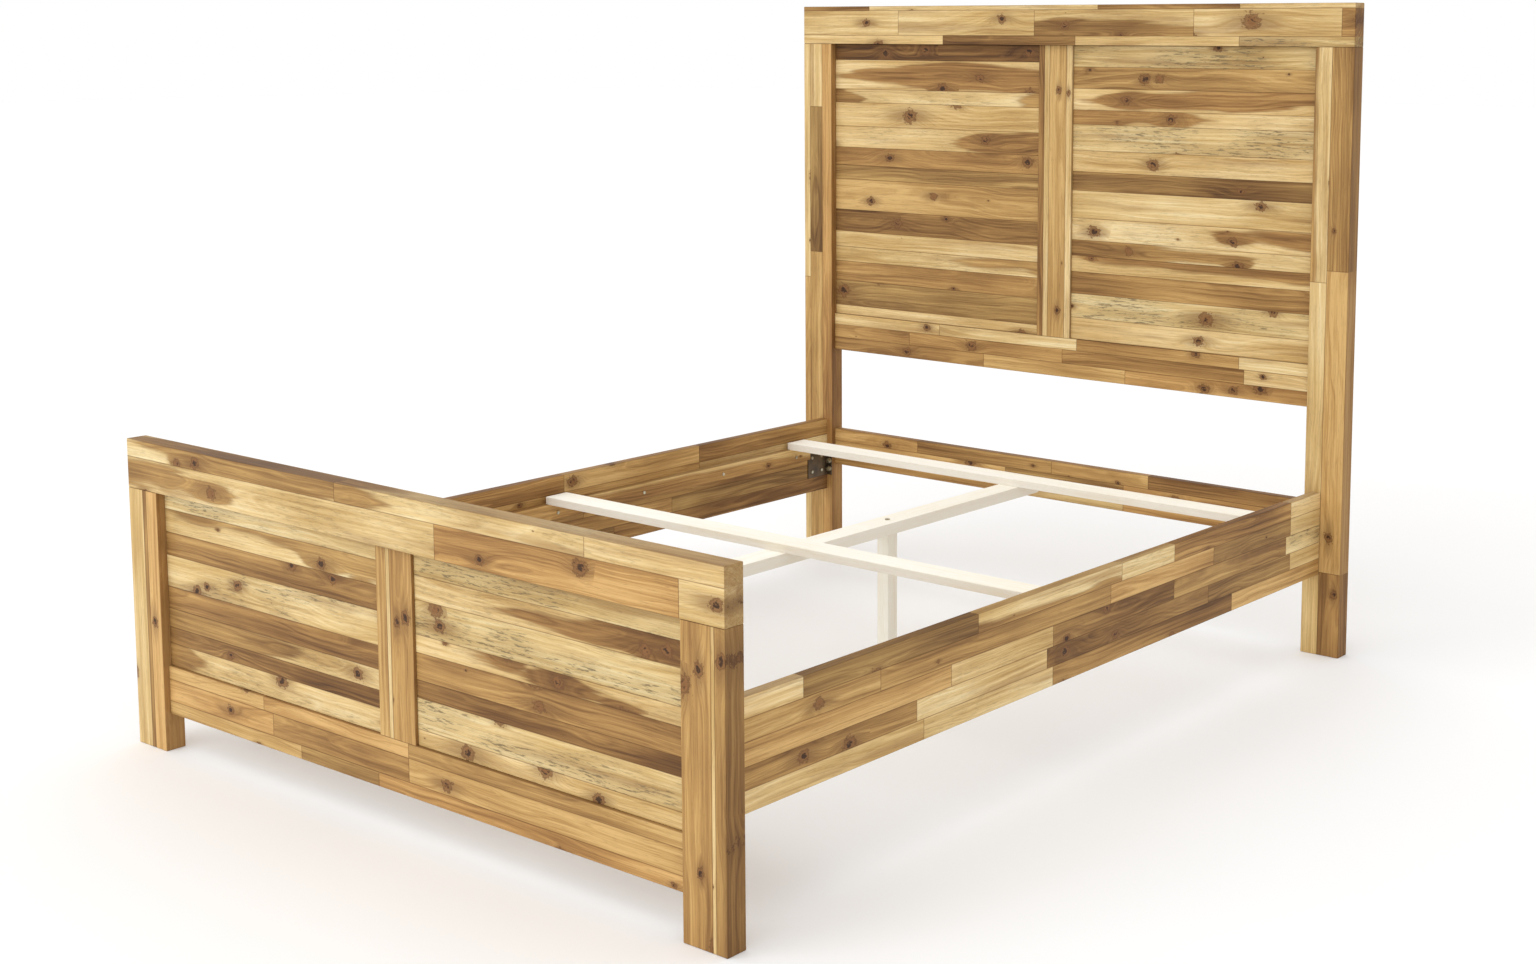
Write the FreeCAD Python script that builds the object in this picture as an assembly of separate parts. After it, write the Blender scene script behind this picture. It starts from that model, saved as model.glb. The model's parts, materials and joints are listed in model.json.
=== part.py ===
import FreeCAD, Part
import math
import os

from FreeCAD import Vector

# Queen size wooden bed frame. Millimetres, +Z up, +Y towards the headboard.
# The origin is on the floor, at the centre of the footprint.

# Overall sizes
OVERALL_W = 1690.0
OVERALL_L = 2150.0
HEAD_H = 1553.0
FOOT_H = 646.0
EDGE_R = 1.6            # rounding of the long edges of the hardwood pieces
SOFT_EDGE_R = 1.0       # rounding of the softwood pieces
PLAY = 0.05             # radial play of dowels and screw shanks in their holes

# Headboard and footboard frames
POST_W = 100.0
POST_D = 44.0
STOCK_H = 102.0         # height of the cap rails, bottom rails and cross rail
FRAME_RAIL_T = 22.0
FRAME_RAIL_INSET = 13.0
STILE_W = 104.0
FOOT_BOTTOM_RAIL_Z = 78.0
HEAD_BOTTOM_RAIL_Z = 597.0
CROSS_RAIL_Z = 268.0

# Panels, which float in grooves of the frame around them
PANEL_T = 10.0
PANEL_INSET = 19.0
PANEL_TONGUE = 8.0
PANEL_PLAY = 1.0

# Tenons of the frame rails and stiles
TENON_T = 10.0
TENON_H = 66.0
TENON_L = 30.0
STILE_TENON_W = 60.0
STILE_TENON_L = 20.0
MORTISE_EXTRA = 1.0

# Side rails, with a ledger strip inside each
SIDE_T = 24.0
SIDE_H = 200.0
SIDE_Z = 197.0
SIDE_INSET = 57.0
LEDGER_T = 22.0
LEDGER_H = 40.0
LEDGER_Z = 297.0
LEDGER_END_GAP = 96.0
LEDGER_SCREWS = 7

# Loose slats, the beam under them and the beam's legs
SLAT_W = 68.0
SLAT_T = 19.0
SLAT_PITCH = 880.0
SLAT_SHIFT = 4.0        # the row of slats sits this far towards the headboard
SLAT_END_GAP = 12.0
BEAM_W = 62.0
BEAM_T = 28.0
BEAM_OVERHANG = 24.0     # the beam's free end, past the head slat
LEG_SIDE = 34.0
LEG_Y = 365.0
GLIDE_H = 5.0
GLIDE_R = 12.0

# Steel corner brackets that hold the side rails to the posts
BRACKET_T = 3.0
BRACKET_LEG = 84.0
BRACKET_Z = 238.0
BRACKET_H = 74.0
BRACKET_SCREW_EDGE = 17.0
BRACKET_SCREW_YS = (28.0, 68.0)
BOLT_R = 4.0
BOLT_IN_WOOD = 13.0     # stops short of the panel grooves and mortises
BOLT_EDGE = 8.0         # from the bolt's axis to the post's inner edge
BOLT_END = 3.0          # thread that shows beyond the nut
BOLT_ZS = (256.0, 279.0)
WASHER_R = 7.5
WASHER_T = 1.6
NUT_AF = 13.0
NUT_T = 6.5

# Angle under the beam's end at the footboard
ANGLE_T = 3.0
ANGLE_W = 40.0
ANGLE_LEG = 46.0
ANGLE_DROP = 38.0

# Wood screws and dowels
SCREW_R = 2.2
SCREW_HEAD_R = 4.4
SCREW_HEAD_T = 2.4
SCREW_L = 16.0
LEDGER_SCREW_L = 34.0
LEG_SCREW_R = 3.0
LEG_SCREW_HEAD_R = 6.0
LEG_SCREW_L = 78.0
DOWEL_R = 5.0
DOWEL_L = 40.0
DOWEL_RISE = 36.0       # from the rail's lower and upper edges to its dowels
DOWEL_PLAY = 1.0        # free length at each end of a dowel
CAP_DOWEL_SHIFT = 22.0  # from the post's middle to its dowels

HALF_W = OVERALL_W / 2
HALF_L = OVERALL_L / 2
POST_INNER_X = HALF_W - POST_W
CLEAR_HALF_L = HALF_L - POST_D
SIDE_OUTER_X = HALF_W - SIDE_INSET
SIDE_INNER_X = SIDE_OUTER_X - SIDE_T
SIDE_MID_X = SIDE_OUTER_X - SIDE_T / 2
SLAT_Z = LEDGER_Z + LEDGER_H
BEAM_Z = SLAT_Z - BEAM_T
BOLT_X = POST_INNER_X + BOLT_EDGE

X = Vector(1, 0, 0)
Y = Vector(0, 1, 0)
Z = Vector(0, 0, 1)

nodes = {}


def block(x0, x1, y0, y1, z0, z1):
    """A plain box between two corners, given in any order along x."""
    low, high = min(x0, x1), max(x0, x1)
    return Part.makeBox(high - low, y1 - y0, z1 - z0, Vector(low, y0, z0))


def eased(shape, radius, along=None):
    """The same box with its edges rounded: all of them, or those that run along one axis."""
    edges = shape.Edges
    if along is not None:
        edges = [e for e in edges if abs(e.tangentAt(e.FirstParameter).dot(along)) > 0.99]
    return shape.makeFillet(radius, edges)


def rod(radius, start, direction, length):
    return Part.makeCylinder(radius, length, start, direction)


def screw(start, direction, radius, length, head_r, head_t):
    """A round-headed screw: start is under its head, direction points into the wood."""
    head = rod(head_r, start - direction * head_t, direction, head_t)
    top = start - direction * head_t
    rim = [e for e in head.Edges if e.Closed and abs((e.CenterOfMass - top).dot(direction)) < 1e-6]
    head = head.makeFillet(head_t * 0.4, rim)
    tip = Part.makeCone(radius, radius * 0.2, radius * 2, start + direction * (length - radius * 2), direction)
    shank = rod(radius, start, direction, length - radius * 2)
    return head.fuse(shank).fuse(tip).removeSplitter()


def drill(names, start, direction, radius, length):
    """Cuts one round hole through each named node."""
    hole = rod(radius + PLAY, start, direction, length)
    for name in names:
        nodes[name] = nodes[name].cut(hole)


def group(name, shapes):
    nodes[name] = Part.makeCompound(shapes)


# --- headboard and footboard -------------------------------------------------

def framed_board(prefix, front_y, height, bottom_rail_z):
    """Two posts, a cap rail across their tops, a bottom rail, a centre stile and two panels."""
    back_y = front_y + POST_D
    post_top = height - STOCK_H
    rail_top = bottom_rail_z + STOCK_H
    rail_y = front_y + FRAME_RAIL_INSET
    rail_back_y = rail_y + FRAME_RAIL_T
    panel_y = front_y + PANEL_INSET
    panel_back_y = panel_y + PANEL_T

    posts = {
        "left": eased(block(-HALF_W, -POST_INNER_X, front_y, back_y, 0, post_top), EDGE_R),
        "right": eased(block(POST_INNER_X, HALF_W, front_y, back_y, 0, post_top), EDGE_R),
    }
    cap = eased(block(-HALF_W, HALF_W, front_y, back_y, post_top, height), EDGE_R)
    rail = eased(block(-POST_INNER_X, POST_INNER_X, rail_y, rail_back_y, bottom_rail_z, rail_top),
                 EDGE_R, X)
    stile = eased(block(-STILE_W / 2, STILE_W / 2, rail_y, rail_back_y, rail_top, post_top), EDGE_R, Z)

    for side, sign in (("left", -1), ("right", 1)):
        outer = sign * (POST_INNER_X + PANEL_TONGUE)
        inner = sign * (STILE_W / 2 - PANEL_TONGUE)
        nodes[f"{prefix}_{side}_panel"] = block(
            outer, inner, panel_y, panel_back_y, rail_top - PANEL_TONGUE, post_top + PANEL_TONGUE)
        room = block(
            outer + sign * PANEL_PLAY, inner - sign * PANEL_PLAY, panel_y, panel_back_y,
            rail_top - PANEL_TONGUE - PANEL_PLAY, post_top + PANEL_TONGUE + PANEL_PLAY)
        posts[side] = posts[side].cut(room)
        cap = cap.cut(room)
        rail = rail.cut(room)
        stile = stile.cut(room)

    stile_ends = ((post_top, 1), (rail_top, -1))
    for end_z, up in stile_ends:
        low = min(end_z, end_z + up * STILE_TENON_L)
        tenon = block(-STILE_TENON_W / 2, STILE_TENON_W / 2, panel_y, panel_back_y, low, low + STILE_TENON_L)
        low_room = min(end_z, end_z + up * (STILE_TENON_L + MORTISE_EXTRA))
        room = block(-STILE_TENON_W / 2, STILE_TENON_W / 2, panel_y, panel_back_y,
                     low_room, low_room + STILE_TENON_L + MORTISE_EXTRA)
        stile = stile.fuse(tenon)
        cap = cap.cut(room)
        rail = rail.cut(room)

    rail, posts = tenon_rail(rail, posts, front_y, bottom_rail_z)
    nodes[f"{prefix}_left_post"] = posts["left"]
    nodes[f"{prefix}_right_post"] = posts["right"]
    nodes[f"{prefix}_cap_rail"] = cap
    nodes[f"{prefix}_bottom_rail"] = rail
    nodes[f"{prefix}_centre_stile"] = stile.removeSplitter()


def tenon_rail(rail, posts, front_y, rail_z):
    """Adds a tenon to each end of a rail between the posts, and cuts its mortises."""
    y0 = front_y + PANEL_INSET
    y1 = y0 + TENON_T
    z0 = rail_z + (STOCK_H - TENON_H) / 2
    z1 = z0 + TENON_H
    for side, sign in (("left", -1), ("right", 1)):
        end = sign * (POST_INNER_X + TENON_L)
        rail = rail.fuse(block(sign * POST_INNER_X, end, y0, y1, z0, z1))
        posts[side] = posts[side].cut(block(sign * POST_INNER_X, end + sign * MORTISE_EXTRA, y0, y1, z0, z1))
    return rail.removeSplitter(), posts


def lower_cross_rail(prefix, front_y):
    """The rail between the headboard's posts, level with the side rails."""
    y0 = front_y + FRAME_RAIL_INSET
    rail = eased(block(-POST_INNER_X, POST_INNER_X, y0, y0 + FRAME_RAIL_T,
                       CROSS_RAIL_Z, CROSS_RAIL_Z + STOCK_H), EDGE_R, X)
    posts = {side: nodes[f"{prefix}_{side}_post"] for side in ("left", "right")}
    rail, posts = tenon_rail(rail, posts, front_y, CROSS_RAIL_Z)
    nodes[f"{prefix}_lower_cross_rail"] = rail
    for side, shape in posts.items():
        nodes[f"{prefix}_{side}_post"] = shape


def cap_dowels():
    """Two dowels stand between each post and the cap rail above it."""
    pins = []
    for prefix, front_y, height in (("footboard", -HALF_L, FOOT_H), ("headboard", CLEAR_HALF_L, HEAD_H)):
        for side, sign in (("left", -1), ("right", 1)):
            for shift in (-CAP_DOWEL_SHIFT, CAP_DOWEL_SHIFT):
                x = sign * (HALF_W - POST_W / 2) + shift
                foot = Vector(x, front_y + POST_D / 2, height - STOCK_H - DOWEL_L / 2)
                drill((f"{prefix}_{side}_post", f"{prefix}_cap_rail"),
                      foot - Z * DOWEL_PLAY, Z, DOWEL_R, DOWEL_L + 2 * DOWEL_PLAY)
                pins.append(rod(DOWEL_R, foot, Z, DOWEL_L))
    group("cap_dowels", pins)


# --- side rails, ledgers and their fixings -----------------------------------

def side_rails():
    for side, sign in (("left", -1), ("right", 1)):
        rail = block(sign * SIDE_INNER_X, sign * SIDE_OUTER_X, -CLEAR_HALF_L, CLEAR_HALF_L,
                     SIDE_Z, SIDE_Z + SIDE_H)
        nodes[f"{side}_side_rail"] = eased(rail, EDGE_R, Y)
        ledger_end = CLEAR_HALF_L - LEDGER_END_GAP
        ledger = block(sign * SIDE_INNER_X, sign * (SIDE_INNER_X - LEDGER_T), -ledger_end, ledger_end,
                       LEDGER_Z, LEDGER_Z + LEDGER_H)
        nodes[f"{side}_ledger_strip"] = eased(ledger, SOFT_EDGE_R)


def rail_dowels():
    """Two dowels in each end of each side rail enter the post that it meets."""
    pins = []
    for side, sign in (("left", -1), ("right", 1)):
        for prefix, along in (("footboard", -1), ("headboard", 1)):
            for z in (SIDE_Z + DOWEL_RISE, SIDE_Z + SIDE_H - DOWEL_RISE):
                start = Vector(sign * SIDE_MID_X, along * CLEAR_HALF_L - DOWEL_L / 2, z)
                drill((f"{side}_side_rail", f"{prefix}_{side}_post"),
                      start - Y * DOWEL_PLAY, Y, DOWEL_R, DOWEL_L + 2 * DOWEL_PLAY)
                pins.append(rod(DOWEL_R, start, Y, DOWEL_L))
    group("rail_dowels", pins)


def ledger_screws():
    """Round-headed screws along each ledger strip."""
    screws = []
    span = 2 * (CLEAR_HALF_L - LEDGER_END_GAP) - 120.0
    for side, sign in (("left", -1), ("right", 1)):
        for i in range(LEDGER_SCREWS):
            y = -span / 2 + span * i / (LEDGER_SCREWS - 1)
            outward = X * sign
            face = Vector(sign * (SIDE_INNER_X - LEDGER_T), y, LEDGER_Z + LEDGER_H / 2 - 4.0)
            drill((f"{side}_ledger_strip", f"{side}_side_rail"), face - outward * 0.5, outward,
                  SCREW_R, LEDGER_SCREW_L + 1.0)
            screws.append(screw(face, outward, SCREW_R, LEDGER_SCREW_L, SCREW_HEAD_R, SCREW_HEAD_T))
    group("ledger_screws", screws)


def rail_brackets():
    """A steel angle in each corner, screwed to the rail and bolted to the post."""
    bolts, washers, nuts, screws = [], [], [], []
    for side, sign in (("left", -1), ("right", 1)):
        for prefix, along in (("footboard", -1), ("headboard", 1)):
            post, rail = f"{prefix}_{side}_post", f"{side}_side_rail"
            bracket = f"{side}_{prefix}_bracket"
            face_y = along * CLEAR_HALF_L
            top = BRACKET_Z + BRACKET_H
            inner_x = sign * SIDE_INNER_X
            far_y = face_y - along * BRACKET_LEG
            near_y = face_y - along * BRACKET_T
            on_rail = block(inner_x, inner_x - sign * BRACKET_T, min(face_y, far_y), max(face_y, far_y),
                            BRACKET_Z, top)
            on_post = block(inner_x, sign * (POST_INNER_X + 1.0), min(face_y, near_y), max(face_y, near_y),
                            BRACKET_Z, top)
            nodes[bracket] = on_rail.fuse(on_post).removeSplitter()

            into_post = Y * along
            for z in BOLT_ZS:
                seat = Vector(sign * BOLT_X, face_y, z) - into_post * BRACKET_T
                out_l = WASHER_T + NUT_T + BOLT_END
                drill((bracket, post), seat - into_post, into_post, BOLT_R,
                      1.0 + BRACKET_T + BOLT_IN_WOOD + 0.6)
                bolts.append(rod(BOLT_R, seat - into_post * out_l, into_post,
                                 out_l + BRACKET_T + BOLT_IN_WOOD))
                ring = rod(WASHER_R, seat - into_post * WASHER_T, into_post, WASHER_T)
                bore = rod(BOLT_R + PLAY, seat - into_post * (WASHER_T + NUT_T), into_post, WASHER_T + NUT_T)
                washers.append(ring.cut(bore))
                nuts.append(hex_nut(seat - into_post * (WASHER_T + NUT_T), into_post).cut(bore))

            into_rail = X * sign
            for dy in BRACKET_SCREW_YS:
                for z in (BRACKET_Z + BRACKET_SCREW_EDGE, top - BRACKET_SCREW_EDGE):
                    seat = Vector(inner_x - sign * BRACKET_T, face_y - along * dy, z)
                    drill((bracket, rail), seat - into_rail * 0.5, into_rail, SCREW_R, SCREW_L + 1.0)
                    screws.append(screw(seat, into_rail, SCREW_R, SCREW_L, SCREW_HEAD_R, SCREW_HEAD_T))
    group("rail_hanger_bolts", bolts)
    group("rail_bolt_washers", washers)
    group("rail_bolt_nuts", nuts)
    group("bracket_screws", screws)


def hex_nut(start, direction):
    """A hexagonal prism standing on start, with two flats upright."""
    corner_r = NUT_AF / 2 / math.cos(math.pi / 6)
    points = [start + X * (corner_r * math.cos(k * math.pi / 3)) + Z * (corner_r * math.sin(k * math.pi / 3))
              for k in range(7)]
    return Part.Face(Part.makePolygon(points)).extrude(direction * NUT_T)


# --- slats, beam and legs ----------------------------------------------------

def slats():
    half = SIDE_INNER_X - SLAT_END_GAP
    for i, name in enumerate(("slat_foot", "slat_middle", "slat_head")):
        y = (i - 1) * SLAT_PITCH + SLAT_SHIFT
        plank = block(-half, half, y - SLAT_W / 2, y + SLAT_W / 2, SLAT_Z, SLAT_Z + SLAT_T)
        nodes[name] = eased(plank, SOFT_EDGE_R)


def centre_support():
    """The beam from the footboard to just past the head slat, its legs, their glides and its angle."""
    foot_y = -HALF_L + FRAME_RAIL_INSET + FRAME_RAIL_T
    head_y = SLAT_PITCH + SLAT_SHIFT + SLAT_W / 2 + BEAM_OVERHANG
    nodes["centre_beam"] = eased(
        block(-BEAM_W / 2, BEAM_W / 2, foot_y, head_y, BEAM_Z, SLAT_Z), SOFT_EDGE_R)

    leg_screws, glides = [], []
    for name, y in (("foot_support_leg", -LEG_Y), ("head_support_leg", LEG_Y)):
        half = LEG_SIDE / 2
        nodes[name] = eased(block(-half, half, y - half, y + half, GLIDE_H, BEAM_Z), SOFT_EDGE_R)
        down = -Z
        seat = Vector(0, y, SLAT_Z)
        drill(("centre_beam", name), seat + Z * 0.5, down, LEG_SCREW_R, LEG_SCREW_L + 1.0)
        leg_screws.append(screw(seat, down, LEG_SCREW_R, LEG_SCREW_L, LEG_SCREW_HEAD_R, SCREW_HEAD_T))
        pad = rod(GLIDE_R, Vector(0, y, 0), Z, GLIDE_H)
        pad = pad.makeFillet(1.2, [e for e in pad.Edges if e.BoundBox.ZMax < 0.01])
        drill((name,), Vector(0, y, GLIDE_H - 1.0), Z, 1.5, 15.0)
        glides.append(pad.fuse(rod(1.5, Vector(0, y, GLIDE_H), Z, 13.0)))
    group("leg_screws", leg_screws)
    group("leg_glides", glides)

    shelf = block(-ANGLE_W / 2, ANGLE_W / 2, foot_y, foot_y + ANGLE_LEG, BEAM_Z - ANGLE_T, BEAM_Z)
    upright = block(-ANGLE_W / 2, ANGLE_W / 2, foot_y, foot_y + ANGLE_T, BEAM_Z - ANGLE_DROP, BEAM_Z)
    nodes["beam_angle"] = shelf.fuse(upright).removeSplitter()
    angle_screws = []
    for x in (-11.0, 11.0):
        under = Vector(x, foot_y + 30.0, BEAM_Z - ANGLE_T)
        drill(("beam_angle", "centre_beam"), under - Z * 0.5, Z, SCREW_R, SCREW_L + 1.0)
        angle_screws.append(screw(under, Z, SCREW_R, SCREW_L, SCREW_HEAD_R, SCREW_HEAD_T))
        seat = Vector(x, foot_y + ANGLE_T, BEAM_Z - 22.0)
        drill(("beam_angle", "footboard_centre_stile"), seat + Y * 0.5, -Y, SCREW_R, SCREW_L + 1.0)
        angle_screws.append(screw(seat, -Y, SCREW_R, SCREW_L, SCREW_HEAD_R, SCREW_HEAD_T))
    group("beam_angle_screws", angle_screws)


framed_board("footboard", -HALF_L, FOOT_H, FOOT_BOTTOM_RAIL_Z)
framed_board("headboard", CLEAR_HALF_L, HEAD_H, HEAD_BOTTOM_RAIL_Z)
lower_cross_rail("headboard", CLEAR_HALF_L)
cap_dowels()
side_rails()
rail_dowels()
ledger_screws()
rail_brackets()
slats()
centre_support()

os.makedirs("parts", exist_ok=True)
for name, shape in nodes.items():
    if not shape.isValid():
        raise ValueError(f"{name} is not a valid shape")
    shape.exportStep(f"parts/{name}.step")
    print(name, len(shape.Solids), round(shape.Volume / 1000, 1))
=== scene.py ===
import json
import math
import random

import bpy
from mathutils import Matrix, Vector


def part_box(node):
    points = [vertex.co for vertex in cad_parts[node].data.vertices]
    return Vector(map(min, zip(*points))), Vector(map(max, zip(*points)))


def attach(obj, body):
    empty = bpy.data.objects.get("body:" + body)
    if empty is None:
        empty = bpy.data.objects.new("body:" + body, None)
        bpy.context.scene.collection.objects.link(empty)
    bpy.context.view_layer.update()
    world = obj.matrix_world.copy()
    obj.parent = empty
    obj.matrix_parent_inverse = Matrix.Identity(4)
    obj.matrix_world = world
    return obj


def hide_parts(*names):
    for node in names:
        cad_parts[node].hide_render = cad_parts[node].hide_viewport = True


# The looks of a wooden bed frame: each hardwood piece is built from the edge-glued boards it is
# made of, inside the place of its CAD node. Metres, in the frame's own axes.

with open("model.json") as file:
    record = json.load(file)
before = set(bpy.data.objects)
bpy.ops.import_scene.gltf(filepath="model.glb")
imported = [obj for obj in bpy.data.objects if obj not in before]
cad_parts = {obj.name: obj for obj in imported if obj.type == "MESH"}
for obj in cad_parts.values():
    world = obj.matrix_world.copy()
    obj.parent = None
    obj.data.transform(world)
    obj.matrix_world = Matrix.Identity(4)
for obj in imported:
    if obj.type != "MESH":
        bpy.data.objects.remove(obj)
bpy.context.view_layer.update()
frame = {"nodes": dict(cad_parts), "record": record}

MM = 0.001
X, Y, Z = 0, 1, 2
EDGE_RADIUS = 1.6 * MM      # rounding of a piece's outer long edges
SEAM_SHARE = 0.16           # rounding at a glue line, as a share of that
BEVEL_STEPS = 3
TOUCHING = 1e-6             # faces this close lie in one plane
NO_KNOT = (9.0, 9.0, 0.001)  # a knot far outside every board


# --- board figures -----------------------------------------------------------
# pith: where the log's centre runs, across and in depth from the board's middle, in millimetres.
# heart: radius of the brown heartwood round it at the board's start, middle and end. tone: 0 golden
# to 1 dark brown. hue: 0 reddish to 1 olive. smudge: grey mineral streaks in the pale sapwood.

FIGURES = {
    "cream": dict(pith=(105, 60), heart=(6, 2, 8), tone=0.3, hue=0.5, smudge=0.15),
    "grey": dict(pith=(95, 55), heart=(8, 4, 6), tone=0.3, hue=0.9, smudge=1.0),
    "yellow": dict(pith=(-85, 40), heart=(26, 18, 22), tone=0.2, hue=0.3, smudge=0.3),
    "streak": dict(pith=(2, 10), heart=(4, 22, 24), tone=0.5, hue=0.4, smudge=0.3),
    "wisp": dict(pith=(4, 8), heart=(-25, 2, 20), tone=0.45, hue=0.5, smudge=0.4),
    "low": dict(pith=(-30, 10), heart=(34, 38, 36), tone=0.45, hue=0.5, smudge=0.2),
    "high": dict(pith=(30, 10), heart=(10, 32, 40), tone=0.45, hue=0.5, smudge=0.2),
    "ends": dict(pith=(-2, 10), heart=(36, -14, 30), tone=0.4, hue=0.7, smudge=0.5),
    "fade_out": dict(pith=(2, 10), heart=(46, 14, -16), tone=0.45, hue=0.5, smudge=0.4),
    "fade_in": dict(pith=(-2, 10), heart=(-18, 10, 44), tone=0.4, hue=0.5, smudge=0.4),
    "honey": dict(pith=(-32, 10), heart=(46, 54, 52), tone=0.24, hue=0.15, smudge=0.1),
    "tan": dict(pith=(18, 24), heart=(90, 90, 90), tone=0.0, hue=0.5, smudge=0.0),
    "amber": dict(pith=(-14, 20), heart=(90, 90, 90), tone=0.16, hue=0.2, smudge=0.0),
    "brown": dict(pith=(16, 18), heart=(75, 75, 75), tone=0.42, hue=0.45, smudge=0.0),
    "olive": dict(pith=(-20, 15), heart=(75, 75, 75), tone=0.5, hue=0.95, smudge=0.0),
    "dark": dict(pith=(12, 14), heart=(90, 90, 90), tone=0.78, hue=0.5, smudge=0.0),
}

# How far one board of a figure may differ from the next: factors, or plus and minus amounts.
PITH_ACROSS_FACTOR = (0.7, 1.3)
PITH_ACROSS_PLAY = 6        # millimetres
PITH_DEPTH_FACTOR = (0.8, 1.3)
WANDER_FACTOR = (0.6, 1.2)
GROWTH_FACTOR = (0.85, 1.15)
TONE_PLAY = 0.1
HUE_PLAY = 0.2
SEED_REACH = 40             # boards take their noise from places this far apart at most


def stave(figure, share=1.0, knot=None):
    """One board of a row. knot is (share of its length, share of its width, radius in mm)."""
    return dict(figure=figure, share=share, knot=knot)


def row(width, *staves):
    """A row of boards of that width in millimetres, end to end."""
    return dict(width=width, staves=[s if isinstance(s, dict) else stave(s) for s in staves])


# --- mesh of a glued-up piece ------------------------------------------------

CORNERS = [(i, j, k) for i in (0, 1) for j in (0, 1) for k in (0, 1)]
SIDES = [(axis, end) for axis in (X, Y, Z) for end in (0, 1)]


def side_loop(axis, end):
    """The four corner numbers of one side of a box, turning outwards."""
    a, b = [n for n in (X, Y, Z) if n != axis]
    turns = [(0, 0), (1, 0), (1, 1), (0, 1)]
    loop = []
    for s, t in turns:
        corner = [0, 0, 0]
        corner[axis], corner[a], corner[b] = end, s, t
        loop.append(CORNERS.index(tuple(corner)))
    outward = (axis != Y) == bool(end)
    return loop if outward else loop[::-1]


LOOPS = {side: side_loop(*side) for side in SIDES}
BOX_EDGES = {}
for side, loop in LOOPS.items():
    for n in range(4):
        BOX_EDGES.setdefault(frozenset((loop[n], loop[(n + 1) % 4])), []).append(side)


def lay_out(low, high, grain, across, rows):
    """The boards' boxes: rows run along grain, and stack along across, downwards or left to right."""
    total = sum(r["width"] for r in rows)
    span = high[across] - low[across]
    done = 0.0
    for r in rows:
        first, last = done / total, (done + r["width"]) / total
        done += r["width"]
        if across == Z:
            first, last = 1 - last, 1 - first
        length = sum(s["share"] for s in r["staves"])
        along = 0.0
        for s in r["staves"]:
            start, stop = along / length, (along + s["share"]) / length
            along += s["share"]
            a, b = Vector(low), Vector(high)
            a[across], b[across] = low[across] + span * first, low[across] + span * last
            a[grain] = low[grain] + (high[grain] - low[grain]) * start
            b[grain] = low[grain] + (high[grain] - low[grain]) * stop
            yield a, b, s


def within_one(value):
    return min(1, max(0, value))


def glued(name, low, high, grain, across, rows, node, body, material, slot, rounded=None):
    """One piece made of its boards, with each board's facts on its faces for the wood material.
    rounded: the axes whose outer faces meet in rounded edges."""
    depth = ({X, Y, Z} - {grain, across}).pop()
    rounded = {across, depth} if rounded is None else rounded
    rng = random.Random(name)
    points, faces, weights = [], [], {}
    facts = {key: [] for key in ("mid", "half", "pith", "heart", "look", "knot")}
    for a, b, s in lay_out(low, high, grain, across, rows):
        base = len(points)
        ends = (a, b)
        points += [tuple(ends[c[n]][n] for n in (X, Y, Z)) for c in CORNERS]
        outer = {side for side in SIDES if side[0] in rounded
                 and abs(ends[side[1]][side[0]] - (low, high)[side[1]][side[0]]) < TOUCHING}
        for edge, sides in BOX_EDGES.items():
            key = frozenset(base + c for c in edge)
            weights[key] = 1.0 if all(side in outer for side in sides) else SEAM_SHARE
        f = FIGURES[s["figure"]]
        size = b - a
        mid = (a + b) / 2
        flip = rng.choice((-1, 1))
        pith_across = f["pith"][0] * rng.uniform(*PITH_ACROSS_FACTOR)
        pith_across += rng.uniform(-PITH_ACROSS_PLAY, PITH_ACROSS_PLAY)
        pith_depth = flip * f["pith"][1] * rng.uniform(*PITH_DEPTH_FACTOR)
        pith = (pith_across * MM, pith_depth * MM, rng.uniform(*WANDER_FACTOR))
        growth = rng.uniform(*GROWTH_FACTOR) * MM
        heart = tuple(radius * growth for radius in f["heart"])
        tone = within_one(f["tone"] + rng.uniform(-TONE_PLAY, TONE_PLAY))
        hue = within_one(f["hue"] + rng.uniform(-HUE_PLAY, HUE_PLAY))
        look = (tone, hue, f["smudge"])
        half = (size[grain] / 2, size[across] / 2, rng.uniform(0, SEED_REACH))
        if s["knot"]:
            along, over, radius = s["knot"]
            knot = ((along - 0.5) * size[grain], (over - 0.5) * size[across], radius * MM)
        else:
            knot = NO_KNOT
        board = {"mid": tuple(mid), "half": half, "pith": pith, "heart": heart, "look": look,
                 "knot": knot}
        for side in SIDES:
            faces.append([base + c for c in LOOPS[side]])
            for key, value in board.items():
                facts[key].append(value)

    mesh = bpy.data.meshes.new(name)
    mesh.from_pydata(points, [], faces)
    mesh.update()
    for key, values in facts.items():
        layer = mesh.attributes.new(key, "FLOAT_VECTOR", "FACE")
        layer.data.foreach_set("vector", [n for v in values for n in v])
    layer = mesh.attributes.new("bevel_weight_edge", "FLOAT", "EDGE")
    layer.data.foreach_set("value", [weights[frozenset(e.vertices)] for e in mesh.edges])
    mesh.polygons.foreach_set("use_smooth", [True] * len(mesh.polygons))
    piece = bpy.data.objects.new(name, mesh)
    bpy.context.scene.collection.objects.link(piece)
    bevel = piece.modifiers.new("edges", "BEVEL")
    bevel.limit_method = "WEIGHT"
    bevel.width = EDGE_RADIUS
    bevel.segments = BEVEL_STEPS
    bevel.harden_normals = True
    mesh.materials.append(material)
    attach(piece, body)
    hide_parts(node)
    return piece


# --- node helper -------------------------------------------------------------

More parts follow.
